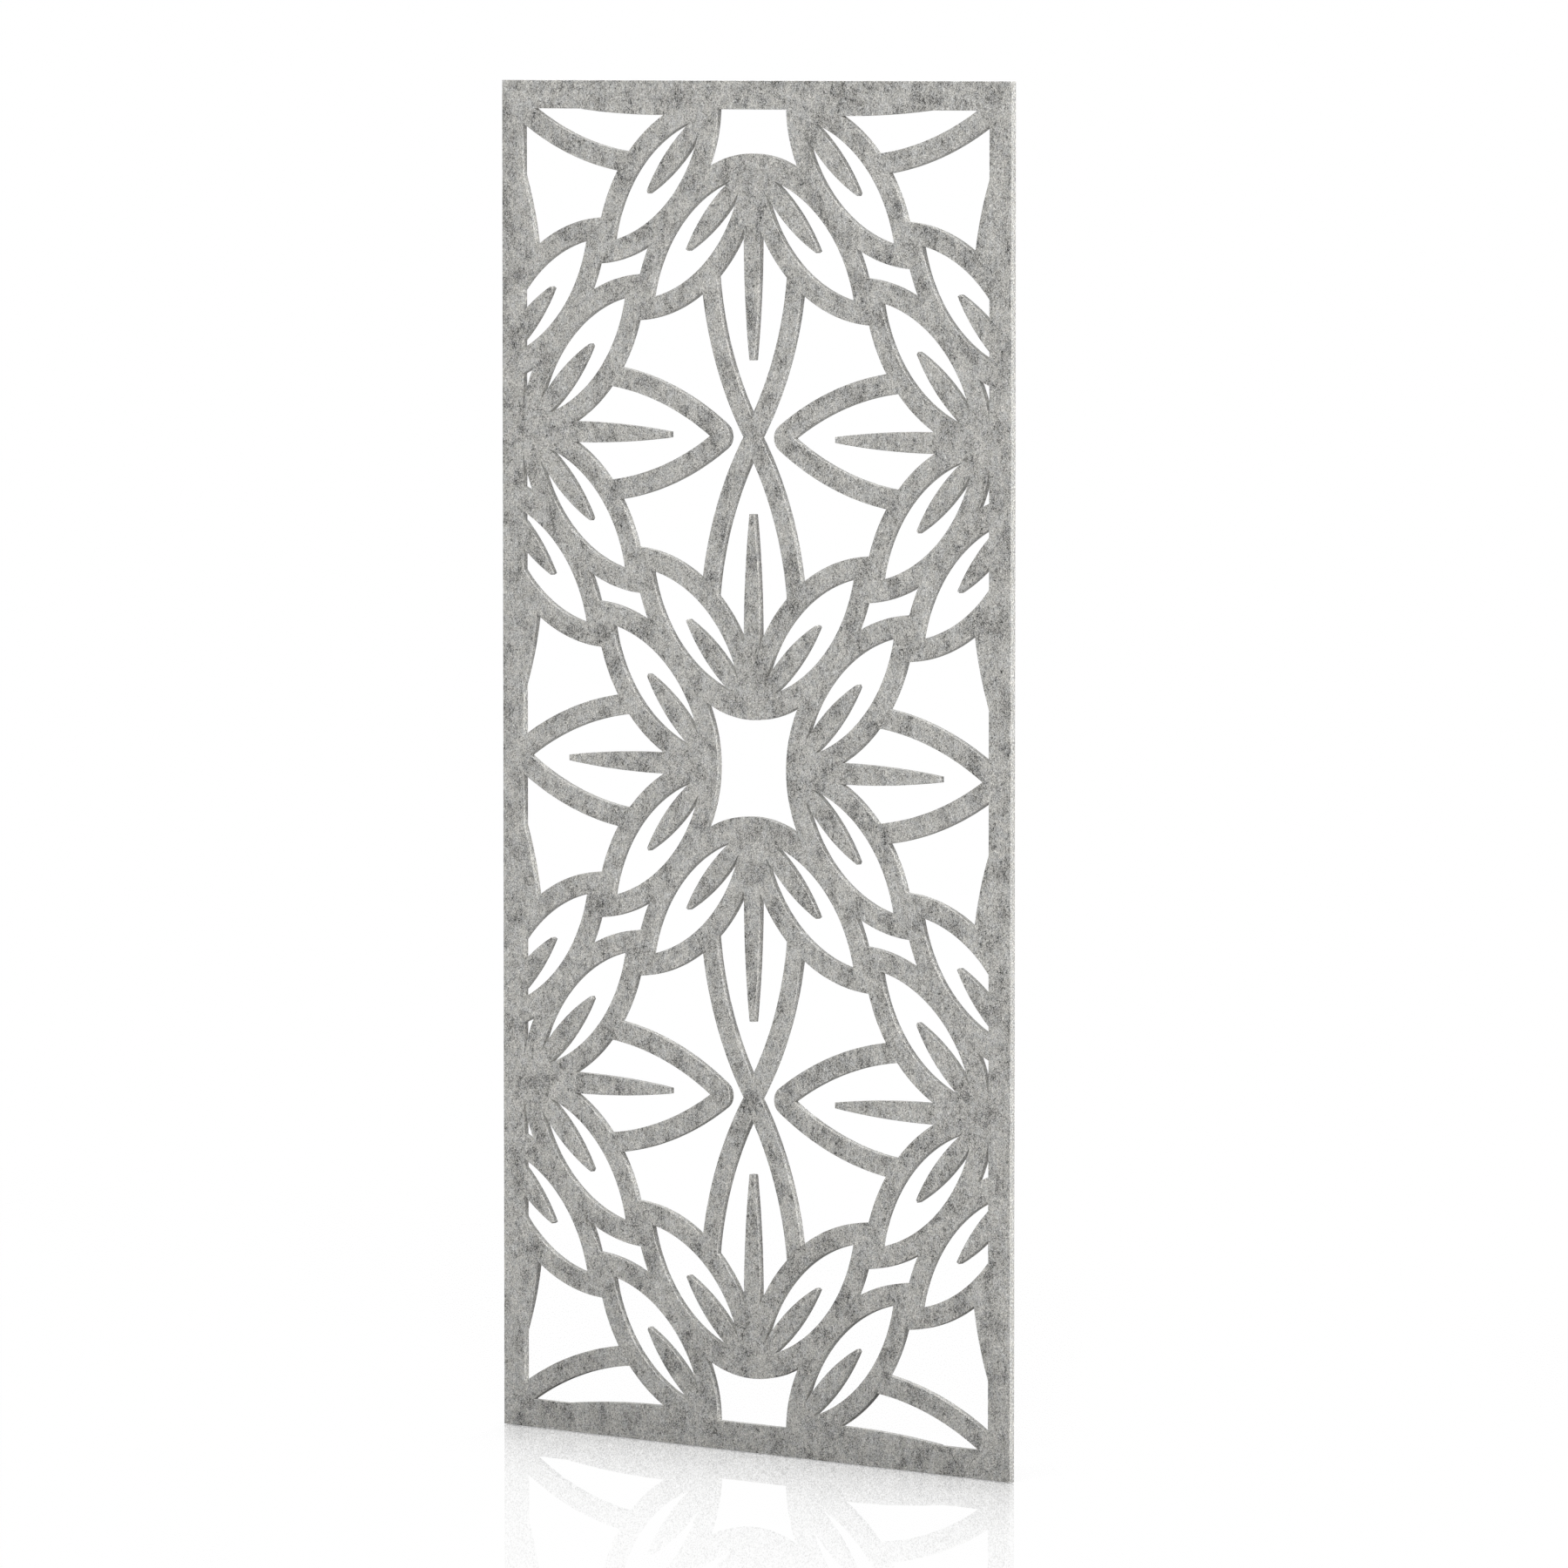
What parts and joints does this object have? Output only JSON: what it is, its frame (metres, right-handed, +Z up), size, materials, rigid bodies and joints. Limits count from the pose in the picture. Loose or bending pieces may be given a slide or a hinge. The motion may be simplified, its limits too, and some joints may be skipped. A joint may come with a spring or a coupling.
{
  "type": "hanging room divider panel",
  "caption": "Flat grey felt room divider, cut right through with a petal lattice and hung from two threaded sockets hidden in its top edge.",
  "frame": {"origin": "middle of the sheet's top edge, level with the mouths of the two hanging sockets and halfway between them", "axes": "+Z up along the sheet's height, +X along its width, -Y out of the front face"},
  "size_m": [1.2, 0.012, 2.4],
  "materials": {
    "felt": "heather-grey needled polyester felt board, matt and lightly fuzzy, with dark flecks",
    "strip_aluminium": "mill-finish extruded aluminium flat",
    "socket_steel": "turned and zinc-plated steel",
    "screw_steel": "zinc-plated steel"
  },
  "bodies": {
    "root": {"felt_sheet": "felt", "hanging_strip": "strip_aluminium", "socket_left": "socket_steel", "socket_right": "socket_steel", "strip_screws": "screw_steel"}
  },
  "joints": []
}
